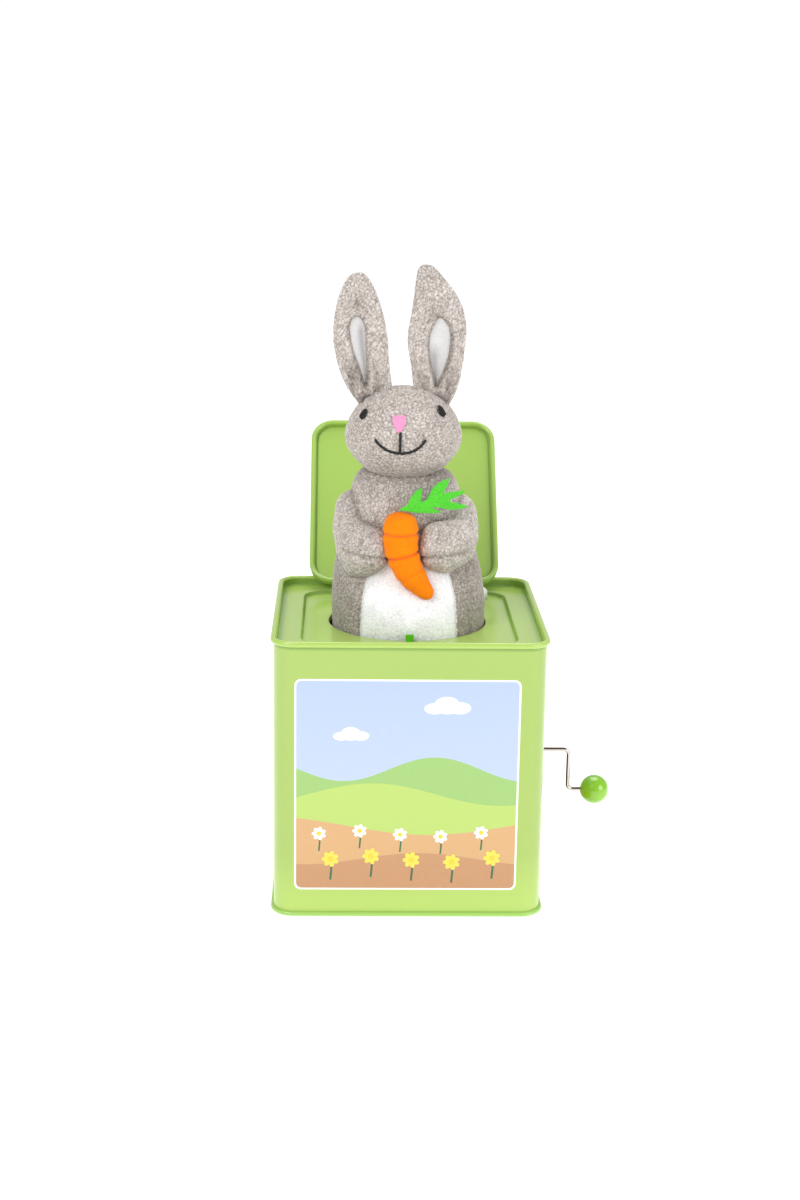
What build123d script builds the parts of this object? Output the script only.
from build123d import *
import math
import os

# Jack in the box: a tinplate box with a rear-hinged lid, a crank-driven music
# movement on the right wall, a latch at the front of the puppet hole, and a
# plush rabbit puppet on a compression spring.
# Frame: millimetres, origin at the centre of the box's underside, +Z up,
# -Y is the front, +X is the crank side. "Left" is -X and "right" is +X.

# Box
BOX_W = 140.0            # outside width and depth of the wall
BOX_R = 11.0             # vertical corner radius
WALL_X = BOX_W / 2       # outside face of the right wall
WALL_TOP = 147.0
SHEET = 0.5              # tinplate thickness
RIM_Z = 148.7            # top of the rolled rim
BEAD_H = 3.2             # rim bead height
BEAD_OUT = 1.7           # rim bead proud of the wall
FOOT_H = 2.2             # bottom bead height
FOOT_OUT = 1.6           # bottom bead proud of the wall
FLOOR_Z = 0.6            # top surface of the bottom panel
TRAY_Z = 143.7           # top surface of the tray floor
RECESS_Z = 141.7         # top surface of the recess floor
RECESS_W, RECESS_R = 111.5, 13.0
HOLE_R = 42.1            # puppet hole
BASE_RIVETS = [(0.0, 29.2), (25.3, -14.6), (-25.3, -14.6)]   # x, y

# Lid and hinge
LID_W, LID_R = 108.0, 13.0
LID_Z0, LID_Z1 = 142.1, 147.1   # closed height of the lid
LID_ROLL = 2.9           # width of the rolled lid edge
LID_OPEN = 131.0         # degrees from closed to open (open is the rest pose)
HINGE_Y, HINGE_Z = 56.0, 145.4
HINGE_PIN_R = 0.8
KNUCKLE_R = 1.6
HINGE_RIVETS = [(-18.0, 61.5), (18.0, 61.5)]                 # x, y

# Rivets and screws
RIVET_R, RIVET_HOLE_R, RIVET_HEAD_R = 0.9, 0.95, 1.5
SCREW_HOLE_R = 1.05
FRAME_SCREWS = [(y, z) for z in (57.0, 99.0) for y in (-29.0, 21.0)]
COMB_SCREWS = [(53.4, 15.0), (60.4, 15.0)]                   # x, y

# Crank
CRANK_Z = 68.3           # crank shaft height
WIRE_R = 1.1
BEND_R = 2.6
ARM_X = 90.4             # plane of the crank arm
CRANK_END_X = 108.4
KNOB = (105.3, 0.0, 45.2)
KNOB_R = 8.0
BUSH_R, BUSH_HOLE_R = 3.0, 3.05

# Gear pair, drum and cam
GEAR_C = 20.0            # centre distance of the gear pair
PINION_T, GEAR_T = 12, 36
GEAR_MODULE = 2 * GEAR_C / (PINION_T + GEAR_T)
GEAR_PHI = math.radians(135.0)   # direction of the drum from the crank, in YZ
DRUM_Y = GEAR_C * math.cos(GEAR_PHI)
DRUM_Z = CRANK_Z + GEAR_C * math.sin(GEAR_PHI)
DRUM_R = 10.0
DRUM_X0, DRUM_X1 = 49.5, 64.4
BUMP_H = 1.0
TUNE_X, TUNE_PITCH = 50.4, 1.0   # first bump column and comb tooth, and spacing
TUNE_TEETH = 14
SHAFT_X0 = 44.4          # left end of the crank wire and the drum axle
AXLE_R, AXLE_BORE_R = 1.0, 1.02
CAM_X0, CAM_X1 = 46.9, 48.9      # shared by the cam and its follower
CAM_R, CAM_LIFT = 8.0, 3.5

# Movement frame
FRAME_X0, FRAME_X1 = 45.2, 69.4
FRAME_Y0, FRAME_Y1 = -34.0, 26.0
FRAME_Z0, FRAME_Z1 = 53.0, 104.0
SHELF_Z = 81.5           # top of the comb shelf
COMB_Z = SHELF_Z + 0.05

# Latch
LATCH_Y, LATCH_Z = -54.0, 128.0
LATCH_PIN_R = 1.0
LATCH_TUBE_R = 2.4
HOOK_HALF = 2.1          # half thickness of the hook
HOOK_SLOT_HALF = 2.7     # half width of the slots round the hook
BRACKET_Z = RECESS_Z - SHEET - 0.05
BRACKET_RIVETS = [(-10.0, -48.6), (47.0, -48.6)]             # x, y

# Puppet spring
SPRING_R0, SPRING_R1 = 26.0, 17.5
SPRING_WIRE = 1.8
SPRING_Z0, SPRING_Z1 = 2.7, 169.9
SPRING_TURNS = 8         # working turns, between one dead turn at each end
DEAD_RISE = 2.0          # height gained in a dead turn
RING_R = 43.5

# Puppet head: centre and half axes
HEAD_C = (-3.3, -3.0, 244.8)
HEAD_A = (30.6, 25.5, 24.8)


# ---------------------------------------------------------------- helpers
def save(shape, name):
    solids = shape.solids()
    out = solids[0] if len(solids) == 1 else Compound(children=list(solids))
    export_step(out, f"parts/{name}.step")


def save_all(*pieces):
    """Build each piece and save it under its function's name."""
    for piece in pieces:
        save(piece(), piece.__name__)


def fuse(shapes):
    out = None
    for shape in shapes:
        out = shape if out is None else out + shape
    return out


def edges_at(shape, axis, *levels, tol=0.01):
    """Edges whose centre lies at one of the levels on the axis."""
    return shape.edges().filter_by(
        lambda e: any(abs(getattr(e.center(), axis) - level) < tol for level in levels))


def rounded_prism(width, radius, z0, z1):
    return Pos(0, 0, z0) * extrude(RectangleRounded(width, width, radius), z1 - z0)


def rounded_ring(width, radius, thickness, z0, z1):
    """Rounded-square ring measured by its outside."""
    return (rounded_prism(width, radius, z0, z1)
            - rounded_prism(width - 2 * thickness, radius - thickness, z0 - 1, z1 + 1))


def box_prism(inset, z0, z1):
    """Prism with the box's outline moved inwards by inset."""
    return rounded_prism(BOX_W - 2 * inset, BOX_R - inset, z0, z1)


def box_ring(inset_out, inset_in, z0, z1):
    return box_prism(inset_out, z0, z1) - box_prism(inset_in, z0 - 1, z1 + 1)


def wall_slot(z0, z1):
    """The wall with 0.05 clearance on each face."""
    return box_ring(-0.05, SHEET + 0.05, z0, z1)


def cyl_z(radius, z0, z1, x=0.0, y=0.0):
    return Pos(x, y, z0) * Cylinder(
        radius, z1 - z0, align=(Align.CENTER, Align.CENTER, Align.MIN))


def cyl_x(radius, x0, x1, y, z):
    return Pos(x0, y, z) * Rot(0, 90, 0) * Cylinder(
        radius, x1 - x0, align=(Align.CENTER, Align.CENTER, Align.MIN))


def drill_z(shape, radius, z0, z1, places):
    """Holes along Z at (x, y) places."""
    for x, y in places:
        shape -= cyl_z(radius, z0, z1, x, y)
    return shape


def drill_x(shape, radius, x0, x1, places):
    """Holes along X at (y, z) places."""
    for y, z in places:
        shape -= cyl_x(radius, x0, x1, y, z)
    return shape


def block(x0, x1, y0, y1, z0, z1):
    return Pos((x0 + x1) / 2, (y0 + y1) / 2, (z0 + z1) / 2) * Box(x1 - x0, y1 - y0, z1 - z0)


def plate_yz(points, x0, x1):
    """Polygon given as (y, z) points, extruded along X."""
    face = make_face(Polyline(*[(x0, y, z) for y, z in points], close=True))
    return extrude(face, x1 - x0, dir=(1, 0, 0))


def plate_xz(points, y0, y1):
    """Polygon given as (x, z) points, extruded along Y."""
    face = make_face(Polyline(*[(x, y0, z) for x, z in points], close=True))
    return extrude(face, y1 - y0, dir=(0, 1, 0))


def spline_xz(points, y0, y1):
    """Closed smooth outline given as (x, z) points, extruded along Y."""
    face = make_face(Spline(*[(x, y0, z) for x, z in points], periodic=True))
    return extrude(face, y1 - y0, dir=(0, 1, 0))


def sweep_wire(path, radius, frenet=False):
    section = Plane(origin=path @ 0, z_dir=path % 0) * Circle(radius)
    return sweep(section, path=path, is_frenet=frenet)


def head_ellipsoid(grow=0.0):
    return Pos(*HEAD_C) * scale(Sphere(1.0), by=tuple(a + grow for a in HEAD_A))


# ---------------------------------------------------------------- tin box
def tin_body():
    body = box_ring(0, SHEET, 1.0, WALL_TOP)
    body += block(-2.6, 2.6, WALL_X - 0.3, WALL_X + 0.6, 3.0, 145.0)   # rear lock seam
    body -= cyl_x(BUSH_HOLE_R, WALL_X - 2, WALL_X + 2, 0, CRANK_Z)
    return drill_x(body, SCREW_HOLE_R, WALL_X - 2, WALL_X + 2, FRAME_SCREWS)


def top_panel():
    """Rolled rim, tray floor and the recess with the puppet hole."""
    bead_z = RIM_Z - BEAD_H
    lining = 0.7             # inset of the tray's outside
    tray_under, recess_under = TRAY_Z - SHEET, RECESS_Z - SHEET
    recess_out = (RECESS_W + 2 * SHEET, RECESS_R + SHEET)
    hole = cyl_z(HOLE_R, 130, 160)

    rim = box_ring(-BEAD_OUT, 1.6, bead_z, RIM_Z)
    rim = fillet(edges_at(rim, "Z", RIM_Z, bead_z), 1.45)
    rim -= wall_slot(140.0, WALL_TOP + 0.1)
    top = rim + box_ring(lining, lining + SHEET, tray_under, RIM_Z - 1.6)
    top += (box_prism(lining, tray_under, TRAY_Z)
            - rounded_prism(RECESS_W, RECESS_R, TRAY_Z - 2, TRAY_Z + 1))
    top += rounded_ring(*recess_out, SHEET, recess_under, TRAY_Z)
    top += rounded_prism(*recess_out, recess_under, RECESS_Z) - hole
    top += cyl_z(HOLE_R + SHEET, RECESS_Z - 4.5, RECESS_Z) - hole      # collar
    top -= block(-HOOK_SLOT_HALF, HOOK_SLOT_HALF, -47.0, -40.0, 130, 142.5)
    top = drill_z(top, RIVET_HOLE_R, 140, 146, HINGE_RIVETS)
    return drill_z(top, RIVET_HOLE_R, 139, 143, BRACKET_RIVETS)


def bottom_panel():
    foot = box_prism(-FOOT_OUT, 0, FOOT_H)
    foot = fillet(edges_at(foot, "Z", FOOT_H), 1.0)
    foot = chamfer(edges_at(foot, "Z", 0), 0.5)
    foot -= box_prism(1.7, FLOOR_Z, FOOT_H + 1)
    foot -= wall_slot(0.9, 5.0)
    return drill_z(foot, SCREW_HOLE_R, -1, 2, BASE_RIVETS)


save_all_dir = "parts"
os.makedirs("parts", exist_ok=True)
save_all(tin_body, top_panel, bottom_panel)


# ---------------------------------------------------------------- lid and hinge
def lid_open(shape):
    """Turn a shape drawn closed about the hinge into the rest pose."""
    return (Pos(0, HINGE_Y, HINGE_Z) * Rot(-LID_OPEN, 0, 0)
            * Pos(0, -HINGE_Y, -HINGE_Z) * shape)


def lid_pan():
    lid = rounded_prism(LID_W, LID_R, LID_Z0, LID_Z1)
    lid = fillet(edges_at(lid, "Z", LID_Z1, LID_Z0), 1.4)
    inner_w, inner_r = LID_W - 2 * LID_ROLL, LID_R - LID_ROLL
    lid -= rounded_prism(inner_w, inner_r, LID_Z0 - 1, LID_Z1 - 1.2)
    lid += rounded_prism(inner_w - 1.6, inner_r - 0.8, LID_Z1 - 1.5, LID_Z1 - 0.9)
    return lid_open(lid)


def lid_catch():
    """Plate under the lid, forked over the hook, with a lip turned forwards."""
    top = LID_Z1 - 1.55
    catch = (block(-5, 5, -48, -39.0, top - 0.5, top)
             - block(-HOOK_SLOT_HALF, HOOK_SLOT_HALF, -49, -41.5, top - 1, top + 1))
    catch += block(-3, 3, -39.6, -39.0, 141.6, top) + block(-3, 3, -41.4, -39.0, 141.6, 142.2)
    return lid_open(catch)


def hinge_leaf_fixed():
    leaf_top = TRAY_Z + 0.6
    leaf = block(-25, 25, HINGE_Y + 2.3, 64.5, TRAY_Z, leaf_top)
    for x0, x1 in ((-25.0, -13.0), (13.0, 25.0)):
        leaf += (cyl_x(KNUCKLE_R, x0, x1, HINGE_Y, HINGE_Z)
                 + block(x0, x1, HINGE_Y, HINGE_Y + 2.5, TRAY_Z, leaf_top))
    leaf -= cyl_x(HINGE_PIN_R + 0.02, -30, 30, HINGE_Y, HINGE_Z)
    return drill_z(leaf, RIVET_HOLE_R, 140, 150, HINGE_RIVETS)


def hinge_leaf_moving():
    lid_back = LID_W / 2
    leaf = (cyl_x(KNUCKLE_R, -12.6, 12.6, HINGE_Y, HINGE_Z)
            + block(-12.6, 12.6, lid_back + 0.05, lid_back + 0.65, 142.6, HINGE_Z))
    leaf -= cyl_x(HINGE_PIN_R + 0.05, -20, 20, HINGE_Y, HINGE_Z)
    return lid_open(leaf)


def hinge_pin():
    return (cyl_x(HINGE_PIN_R, -25.8, 25.8, HINGE_Y, HINGE_Z)
            + cyl_x(1.2, -26.2, -25.2, HINGE_Y, HINGE_Z)
            + cyl_x(1.2, 25.2, 26.2, HINGE_Y, HINGE_Z))


def hinge_rivets():
    return fuse(cyl_z(RIVET_R, TRAY_Z - 1.1, TRAY_Z + 1.0, x, y)
                + cyl_z(RIVET_HEAD_R, TRAY_Z + 0.65, TRAY_Z + 1.2, x, y)
                + cyl_z(RIVET_HEAD_R, TRAY_Z - 1.1, TRAY_Z - 0.55, x, y)
                for x, y in HINGE_RIVETS)


save_all(lid_pan, lid_catch, hinge_leaf_fixed, hinge_leaf_moving, hinge_pin, hinge_rivets)


# ---------------------------------------------------------------- latch
# Hook outline (y, z)
HOOK = [(-56.0, 129.6), (-47.4, 140.2), (-45.2, 142.0), (-45.2, 145.5), (-42.9, 145.5),
        (-41.7, 144.7), (-41.7, 143.4), (-43.0, 143.4), (-43.0, 138.6), (-52.2, 126.4)]
# x0, x1 of the hanging plate; x0, x1, y0 of the flange; rivet (x, y)
BRACKETS = [(-5.0, -4.0, -14.0, -4.0, -56.0, BRACKET_RIVETS[0]),
            (52.8, 53.8, 42.0, 53.8, -55.5, BRACKET_RIVETS[1])]


def latch_lever():
    """Pivot tube with the hook and a follower arm ending in a shoe over the cam."""
    lever = cyl_x(LATCH_TUBE_R, -3.0, 52.0, LATCH_Y, LATCH_Z)
    lever += plate_yz(HOOK, -HOOK_HALF, HOOK_HALF)
    shoe_z = DRUM_Z + CAM_R + CAM_LIFT + 0.18
    follower = [(-55.4, 126.2), (-19.5, shoe_z), (-8.0, shoe_z), (-8.0, shoe_z + 2.6),
                (-16.5, shoe_z + 3.2), (-52.6, 130.0)]
    lever += plate_yz(follower, CAM_X0, CAM_X1)
    return lever - cyl_x(LATCH_PIN_R + 0.05, -6, 60, LATCH_Y, LATCH_Z)


def latch_pivot_pin():
    return cyl_x(LATCH_PIN_R, -5.8, 54.4, LATCH_Y, LATCH_Z)


def latch_brackets():
    plate = [(-57, 125.2), (-51, 125.2), (-49.5, BRACKET_Z), (-56.0, BRACKET_Z)]
    brackets = []
    for x0, x1, flange_x0, flange_x1, flange_y0, rivet in BRACKETS:
        bracket = plate_yz(plate, x0, x1)
        bracket += block(flange_x0, flange_x1, flange_y0, -46.6, BRACKET_Z - 1.0, BRACKET_Z)
        bracket -= cyl_x(LATCH_PIN_R + 0.02, x0 - 1, x1 + 1, LATCH_Y, LATCH_Z)
        brackets.append(drill_z(bracket, RIVET_HOLE_R, 139, 143, [rivet]))
    return fuse(brackets)


def latch_bracket_rivets():
    """Rivets flush with the recess floor, headed below."""
    foot_z = BRACKET_Z - 1.6
    return fuse(cyl_z(RIVET_R, foot_z, RECESS_Z, x, y)
                + cyl_z(RIVET_HEAD_R, foot_z, BRACKET_Z - 1.02, x, y)
                for x, y in BRACKET_RIVETS)


def latch_return_spring():
    """Coil round the lever's tube."""
    coil = sweep_wire(Helix(pitch=1.0, height=6.0, radius=3.1), 0.3, frenet=True)
    return Pos(10.0, LATCH_Y, LATCH_Z) * Rot(0, 90, 0) * coil


save_all(latch_lever, latch_pivot_pin, latch_brackets, latch_bracket_rivets,
         latch_return_spring)


# ---------------------------------------------------------------- crank and gears
def crank_wire():
    path = FilletPolyline((SHAFT_X0, 0, CRANK_Z), (ARM_X, 0, CRANK_Z), (ARM_X, 0, KNOB[2]),
                          (CRANK_END_X, 0, KNOB[2]), radius=BEND_R)
    return sweep_wire(path, WIRE_R)


def crank_knob():
    ball = Pos(*KNOB) * Sphere(KNOB_R)
    return ball - cyl_x(WIRE_R + 0.06, 90, CRANK_END_X + 0.4, 0, KNOB[2])


def crank_bushing():
    bush = cyl_x(4.2, WALL_X, WALL_X + 0.9, 0, CRANK_Z) + cyl_x(BUSH_R, 68.0, 70.2, 0, CRANK_Z)
    return bush - cyl_x(WIRE_R + 0.05, 60, 80, 0, CRANK_Z)


def crank_collar():
    return cyl_x(2.5, 47.2, 49.2, 0, CRANK_Z) - cyl_x(WIRE_R + 0.01, 40, 60, 0, CRANK_Z)


def involute(angle):
    return math.tan(angle) - angle


def gear_plate(teeth, phase, centre_y, centre_z, x0, x1):
    """Involute gear with stub teeth; phase turns a tooth centre to that angle."""
    pressure = math.radians(20)
    thinning = 0.14          # taken off each tooth's thickness for backlash
    flank_steps = 5
    pitch_r = GEAR_MODULE * teeth / 2
    base_r = pitch_r * math.cos(pressure)
    tip_r = pitch_r + 0.70 * GEAR_MODULE
    root_r = pitch_r - 0.95 * GEAR_MODULE
    half_tooth = math.pi / (2 * teeth) - thinning / (2 * pitch_r)

    start_r = max(base_r, root_r)
    flank = []               # radius, half angle of the tooth
    for i in range(flank_steps + 1):
        r = start_r + (tip_r - start_r) * i / flank_steps
        roll = math.acos(min(1.0, base_r / r))
        flank.append((r, half_tooth + involute(pressure) - involute(roll)))
    if root_r < base_r - 1e-6:       # radial flank below the base circle
        flank.insert(0, (root_r, flank[0][1]))

    polar = []
    for k in range(teeth):
        centre = phase + 2 * math.pi * k / teeth
        polar += [(r, centre - t) for r, t in flank]
        polar += [(r, centre + t) for r, t in reversed(flank)]
    return plate_yz([(r * math.cos(a) + centre_y, r * math.sin(a) + centre_z)
                     for r, a in polar], x0, x1)


def drive_pinion():
    pinion = gear_plate(PINION_T, GEAR_PHI, 0, CRANK_Z, 64.7, 67.3)
    pinion += cyl_x(3.4, 62.4, 64.8, 0, CRANK_Z)     # hub
    return pinion - cyl_x(WIRE_R + 0.01, 50, 80, 0, CRANK_Z)


def drum_gear():
    phase = GEAR_PHI + math.pi + math.pi / GEAR_T
    gear = gear_plate(GEAR_T, phase, DRUM_Y, DRUM_Z, 64.9, 67.3)
    gear -= cyl_x(AXLE_BORE_R, 50, 80, DRUM_Y, DRUM_Z)
    for k in range(5):                               # lightening holes
        a = math.radians(72 * k + 20)
        gear -= cyl_x(2.6, 60, 70, DRUM_Y + 8.0 * math.cos(a), DRUM_Z + 8.0 * math.sin(a))
    return gear


save_all(crank_wire, crank_knob, crank_bushing, crank_collar, drive_pinion, drum_gear)


# ---------------------------------------------------------------- music movement
# Drum bumps: column, angle in degrees
TUNE = [(0, 10), (1, 40), (2, 75), (3, 100), (4, 130), (5, 165), (6, 195), (7, 220),
        (8, 255), (9, 280), (10, 310), (11, 340), (12, 20), (13, 60), (2, 150), (5, 35),
        (8, 90), (11, 120), (4, 240), (7, 300), (10, 185), (1, 215), (13, 260), (0, 170),
        (6, 330), (9, 145), (3, 350), (12, 205)]


def music_drum():
    drum = (cyl_x(DRUM_R, DRUM_X0, DRUM_X1, DRUM_Y, DRUM_Z)
            - cyl_x(AXLE_BORE_R, 40, 80, DRUM_Y, DRUM_Z))
    # ring-shaped pocket in the right end
    drum -= cyl_x(8.4, 60.0, 66, DRUM_Y, DRUM_Z) - cyl_x(2.6, 58.0, 70, DRUM_Y, DRUM_Z)
    root = 0.5               # depth of a bump inside the drum
    for column, angle in TUNE:
        drum += (Pos(TUNE_X + column * TUNE_PITCH, DRUM_Y, DRUM_Z) * Rot(angle, 0, 0)
                 * Pos(0, DRUM_R - root, 0) * Rot(-90, 0, 0)
                 * Cylinder(0.36, BUMP_H + root, align=(Align.CENTER, Align.CENTER, Align.MIN)))
    return drum


def drum_axle():
    return cyl_x(AXLE_R, SHAFT_X0, 69.3, DRUM_Y, DRUM_Z)


def release_cam():
    """Round cam with one lobe pointing down."""
    step, lobe_half = 5, 40          # degrees
    points = []
    for k in range(360 // step):
        turn = step * k
        off_lobe = min(turn, 360 - turn, lobe_half)
        r = CAM_R + CAM_LIFT * (0.5 + 0.5 * math.cos(math.pi * off_lobe / lobe_half))
        a = math.radians(turn - 90)
        points.append((DRUM_Y + r * math.cos(a), DRUM_Z + r * math.sin(a)))
    return plate_yz(points, CAM_X0, CAM_X1) - cyl_x(AXLE_BORE_R, 40, 60, DRUM_Y, DRUM_Z)


def movement_frame():
    frame = (block(FRAME_X0, FRAME_X0 + 1, FRAME_Y0, FRAME_Y1, FRAME_Z0, FRAME_Z1)
             + block(68.2, FRAME_X1, FRAME_Y0, FRAME_Y1, FRAME_Z0, FRAME_Z1))
    frame += block(FRAME_X0, FRAME_X1, -20, 20, FRAME_Z0, FRAME_Z0 + 1.2)
    frame += block(45.7, 68.8, 9, 21, SHELF_Z - 1.5, SHELF_Z)          # comb shelf
    for x0, x1 in ((44, 47), (68, 70)):
        frame -= cyl_x(AXLE_R + 0.05, x0, x1, DRUM_Y, DRUM_Z)
    frame -= cyl_x(WIRE_R + 0.05, 44, 47, 0, CRANK_Z)
    frame -= cyl_x(BUSH_HOLE_R, 67, 70, 0, CRANK_Z)
    frame = drill_x(frame, SCREW_HOLE_R, 67, 70, FRAME_SCREWS)
    return drill_z(frame, RIVET_HOLE_R, 79, 82, COMB_SCREWS)


def movement_screws():
    """Cross-slotted screws with domed heads on the outside of the wall."""
    head_x = WALL_X + 1.2
    slot_long, slot_wide = 1.7, 0.3  # half sizes
    screws = []
    for y, z in FRAME_SCREWS:
        screw = cyl_x(2.3, WALL_X + 0.02, head_x, y, z) + cyl_x(1.0, 67.4, 70.5, y, z)
        screw = fillet(edges_at(screw, "X", head_x), 0.8)
        screw -= fuse(block(70.8, 72, y - dy, y + dy, z - dz, z + dz)
                      for dy, dz in ((slot_wide, slot_long), (slot_long, slot_wide)))
        screws.append(screw)
    return fuse(screws)


def music_comb():
    comb = block(50.0, 64.0, 8, 21, COMB_Z, COMB_Z + 1.6)
    tip_y = DRUM_Y + DRUM_R + BUMP_H + 0.2
    for k in range(TUNE_TEETH):
        x = TUNE_X + k * TUNE_PITCH
        comb += block(x - 0.37, x + 0.37, tip_y, 8.2, COMB_Z + 0.5, COMB_Z + 1.1)
    return drill_z(comb, RIVET_HOLE_R, 79, 86, COMB_SCREWS)


def comb_screws():
    head_r = 1.9
    screws = []
    for x, y in COMB_SCREWS:
        screw = (cyl_z(head_r, COMB_Z + 1.65, COMB_Z + 2.8, x, y)
                 + cyl_z(0.9, COMB_Z - 2.6, COMB_Z + 2.0, x, y))
        screw -= block(x - head_r, x + head_r, y - 0.25, y + 0.25, COMB_Z + 2.3, COMB_Z + 4)
        screws.append(screw)
    return fuse(screws)


save_all(music_drum, drum_axle, release_cam, movement_frame, movement_screws, music_comb,
         comb_screws)


# ---------------------------------------------------------------- puppet spring
def pop_spring():
    """Conical compression spring, narrowing upwards."""
    all_turns = SPRING_TURNS + 2
    working_rise = SPRING_Z1 - SPRING_Z0 - 2 * DEAD_RISE
    points = []
    for k in range(all_turns * 12 + 1):
        t = k / 12.0
        if t <= 1:
            z = SPRING_Z0 + DEAD_RISE * t
        elif t >= SPRING_TURNS + 1:
            z = SPRING_Z1 - DEAD_RISE * (all_turns - t)
        else:
            z = SPRING_Z0 + DEAD_RISE + working_rise * (t - 1) / SPRING_TURNS
        r = SPRING_R0 + (SPRING_R1 - SPRING_R0) * t / all_turns
        points.append((r * math.cos(2 * math.pi * t), r * math.sin(2 * math.pi * t), z))
    return sweep_wire(Spline(*points), SPRING_WIRE / 2, frenet=True)


def spring_base_plate():
    return drill_z(cyl_z(33.0, FLOOR_Z + 0.05, 1.6), SCREW_HOLE_R, 0, 3, BASE_RIVETS)


def spring_clips():
    """Pins whose round heads reach over the bottom coil."""
    return fuse(cyl_z(1.0, 0.1, 6.2, x, y) + cyl_z(3.6, 5.9, 6.5, x, y)
                for x, y in BASE_RIVETS)


def spring_top_disc():
    return cyl_z(20.0, 171.0, 173.0)


def sleeve_clamp_ring():
    z0 = FLOOR_Z + 0.05
    return ((cyl_z(RING_R, z0, 3.8) - cyl_z(41.6, 0, 6))
            + (cyl_z(RING_R, z0, 1.2) - cyl_z(34.0, 0, 6)))


save_all(pop_spring, spring_base_plate, spring_clips, spring_top_disc, sleeve_clamp_ring)


# ---------------------------------------------------------------- plush body
# Body stations: height, half width, half depth
BODY = [(2.2, 39.6, 37.4), (120.0, 40.0, 37.6), (138.0, 41.2, 38.2), (146.0, 41.2, 38.0),
        (157.0, 40.4, 33.5), (166.0, 39.4, 26.0), (180.0, 36.0, 22.5), (194.0, 31.5, 21.0),
        (206.0, 27.0, 20.5), (214.0, 21.5, 17.5), (219.0, 15.0, 13.0)]
BODY_Z0, BODY_Z1 = BODY[0][0], BODY[-1][0]
# Tummy panel outline (x, z)
TUMMY = [(-27.5, 116), (27.5, 116), (27.5, 150), (22, 176), (12, 191), (0, 196),
         (-12, 191), (-22, 176), (-27.5, 150)]


def body_at(height):
    """Half width and half depth; outside the stations, those of the last one."""
    for (z0, a0, b0), (z1, a1, b1) in zip(BODY, BODY[1:]):
        if z0 <= height <= z1:
            t = (height - z0) / (z1 - z0)
            return a0 + (a1 - a0) * t, b0 + (b1 - b0) * t
    return BODY[-1][1:]


def body_solid(grow, z0, z1):
    """The plush body grown sideways, between two heights."""
    def section(z):
        a, b = body_at(z)
        return Pos(0, 0, z) * Ellipse(a + grow, b + grow)

    levels = [z0] + [s[0] for s in BODY if z0 + 0.5 < s[0] < z1 - 0.5] + [z1]
    return fuse(loft([section(low), section(high)], ruled=True)
                for low, high in zip(levels, levels[1:]))


def torso_sleeve():
    return body_solid(0, BODY_Z0, 165.4) - body_solid(-1.6, 1.0, 166.5)


def chest():
    return body_solid(0, 166.0, BODY_Z1) - body_solid(-2.0, 165.0, 214.0)


def tummy_panel():
    shell = body_solid(1.2, 118.0, 196.0) - body_solid(0.3, 117.0, 197.0)
    return shell & plate_xz(TUMMY, -60, 0)


def care_label():
    return block(41.7, 44.6, 4.2, 4.6, 150.6, 161.0)


save_all(torso_sleeve, chest, tummy_panel, care_label)


# ---------------------------------------------------------------- head and ears
# Outlines (x, z)
NOSE = [(-10.1, 257.3), (-8.0, 258.0), (-5.0, 258.0), (-3.0, 257.2), (-3.2, 253.6),
        (-4.6, 250.4), (-6.4, 249.0), (-8.4, 250.6), (-9.8, 253.8)]
MOUTH = [(-18.6, 244.8), (-14.4, 240.4), (-10.0, 238.3), (-6.4, 237.8), (-6.4, 248.6),
         (-5.4, 248.6), (-5.4, 237.8), (-1.5, 238.2), (2.6, 240.2), (6.6, 244.6),
         (7.2, 243.8), (3.2, 239.3), (-1.2, 237.1), (-6.0, 236.7), (-10.4, 237.2),
         (-15.0, 239.5), (-19.2, 244.1)]
EAR_LEFT = [(-29.5, 258.0), (-36.0, 274.0), (-40.2, 291.5), (-40.0, 305.7), (-37.2, 315.2),
            (-32.4, 324.0), (-27.7, 327.0), (-23.6, 325.0), (-19.6, 318.5), (-16.0, 310.0),
            (-13.1, 299.0), (-11.7, 283.0), (-12.0, 268.0), (-19.0, 261.0)]
EAR_RIGHT = [(3.6, 268.0), (-0.6, 283.0), (-2.4, 293.1), (-0.9, 306.2), (1.2, 321.0),
             (3.2, 329.4), (7.0, 331.6), (11.6, 330.0), (16.2, 324.7), (22.8, 316.5),
             (26.8, 307.5), (28.0, 297.0), (26.4, 283.3), (24.2, 270.4), (20.5, 261.0),
             (11.0, 264.0)]
LINING_LEFT = [(-28.7, 304.3), (-32.5, 299.0), (-32.0, 289.0), (-29.0, 279.0),
               (-25.0, 271.5), (-22.6, 275.0), (-23.0, 283.0), (-23.8, 293.0),
               (-25.0, 301.4)]
LINING_RIGHT = [(14.1, 304.8), (10.0, 298.5), (8.5, 289.0), (9.6, 279.0), (12.8, 272.6),
                (15.6, 273.4), (19.4, 284.0), (20.4, 296.0), (18.0, 302.6)]
EAR_Y0, EAR_Y1 = -5.5, 2.0


def eye_outline(centre_x, centre_z, tilt):
    """Twenty-sided oval, tilted in degrees."""
    a, b, sides = 1.6, 2.9, 20
    t = math.radians(tilt)
    return [(centre_x + a * math.cos(k) * math.cos(t) - b * math.sin(k) * math.sin(t),
             centre_z + a * math.cos(k) * math.sin(t) + b * math.sin(k) * math.cos(t))
            for k in [2 * math.pi * i / sides for i in range(sides)]]


def stitched(outline, height):
    """Patch of the given outline standing off the front of the head."""
    shell = head_ellipsoid(height) - head_ellipsoid(0.08)
    return shell & plate_xz(outline, -60, -5)


def ear(outline):
    """Flat stuffed leaf standing on the head."""
    leaf = spline_xz(outline, EAR_Y0, EAR_Y1)
    leaf = chamfer(edges_at(leaf, "Y", EAR_Y0, EAR_Y1, tol=0.05), 1.0)
    return leaf - head_ellipsoid(0.4)


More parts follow.
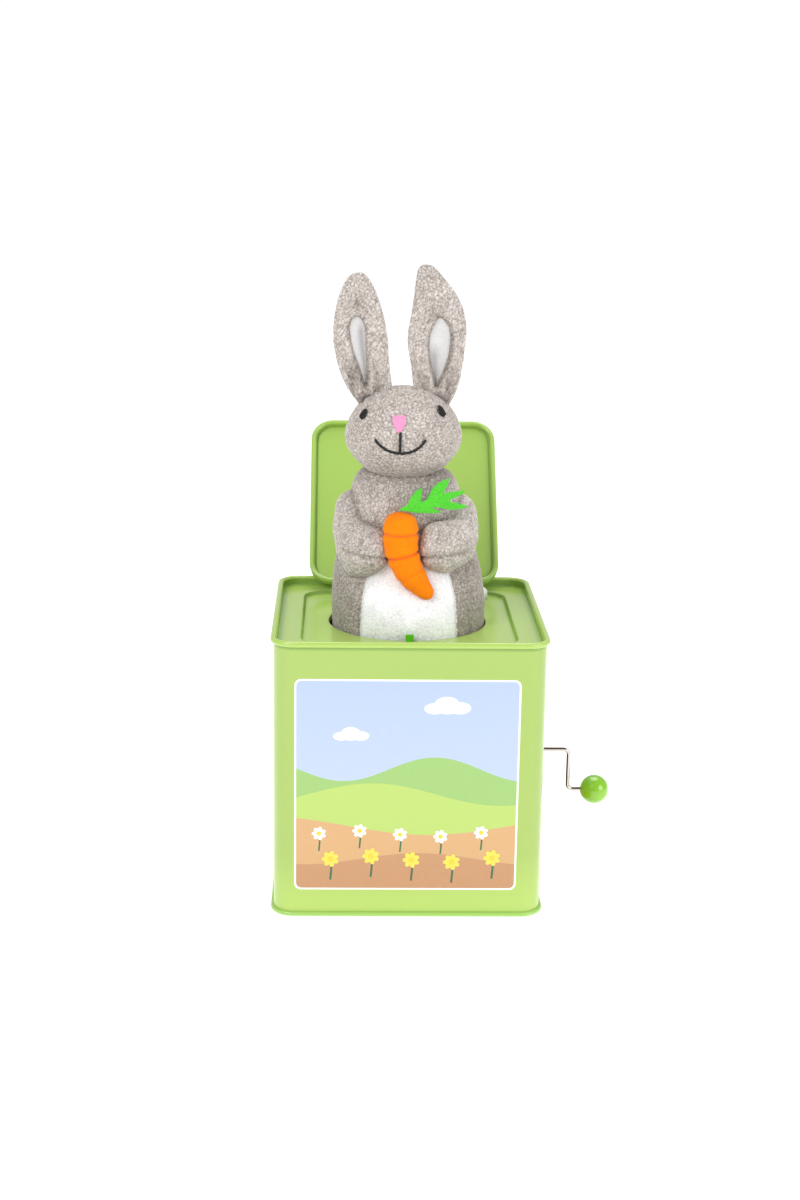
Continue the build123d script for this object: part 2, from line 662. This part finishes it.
save(head_ellipsoid(), "head")
for name, outline, height in (("eye_left", eye_outline(-24.2, 257.2, -18), 0.9),
                              ("eye_right", eye_outline(15.4, 258.6, 18), 0.9),
                              ("nose", NOSE, 1.2),
                              ("mouth_stitching", MOUTH, 0.9)):
    save(stitched(outline, height), name)
for side, outline, lining in (("left", EAR_LEFT, LINING_LEFT),
                              ("right", EAR_RIGHT, LINING_RIGHT)):
    save(ear(outline), f"ear_{side}")
    save(spline_xz(lining, EAR_Y0 - 0.9, EAR_Y0 - 0.1), f"ear_lining_{side}")


# ---------------------------------------------------------------- carrot and arms
# Balls along a limb: x, y, z, radius
CARROT = [(-5.4, -31.4, 199.4, 9.2), (-5.2, -31.6, 192.0, 8.6), (-4.0, -31.8, 184.0, 7.9),
          (-1.0, -32.2, 176.6, 6.9), (4.2, -32.6, 170.2, 5.6), (9.4, -32.8, 166.0, 4.0)]
ARMS = {"left": [(-26.5, -1.0, 203.0, 9.8), (-29.5, -11.0, 188.0, 9.4),
                 (-17.6, -26.0, 184.5, 9.3)],
        "right": [(23.5, -1.0, 202.0, 9.8), (26.5, -11.0, 188.0, 9.4),
                  (12.6, -27.2, 184.5, 9.3)]}
# Carrot leaf outline (x, z) before it is turned about its vertical axis
LEAF = [(-6.8, 209.0), (-0.6, 212.5), (5.5, 220.2), (5.0, 212.5), (9.4, 214.5),
        (19.8, 225.7), (17.4, 218.1), (29.0, 219.8), (21.0, 213.6), (30.0, 211.0),
        (20.1, 209.5), (9.7, 210.2), (16.1, 207.6), (7.6, 207.2), (1.3, 208.9),
        (-4.0, 209.0)]
LEAF_X, LEAF_Y, LEAF_TURN = -5.0, -32.6, 14.0


def limb(balls):
    """Balls joined by cones."""
    cones = []
    for (x0, y0, z0, r0), (x1, y1, z1, r1) in zip(balls, balls[1:]):
        along = Vector(x1 - x0, y1 - y0, z1 - z0)
        length = along.length
        start = Plane(origin=(x0, y0, z0), z_dir=along)
        cones.append(start * Pos(0, 0, length / 2) * Cone(r0, r1, length))
    out = fuse(cones)
    for x, y, z, r in balls:
        out += Pos(x, y, z) * Sphere(r)
    return out


def leaf_plate(half_thickness):
    leaf = plate_xz([(x - LEAF_X, z) for x, z in LEAF], -half_thickness, half_thickness)
    return Pos(LEAF_X, LEAF_Y, 0) * Rot(0, 0, LEAF_TURN) * leaf


carrot_guard = limb([(x, y, z, r + 0.3) for x, y, z, r in CARROT])
save(limb(CARROT), "carrot")
save(leaf_plate(0.6) - carrot_guard, "carrot_leaf")

# Arms are cut clear of their neighbours, and the largest piece left is kept.
body_guard = body_solid(1.7, 160.0, BODY_Z1)
for side, balls in ARMS.items():
    arm = limb(balls) - body_guard - carrot_guard - head_ellipsoid(0.5) - leaf_plate(1.0)
    save(max(arm.solids(), key=lambda s: s.volume), f"arm_{side}")
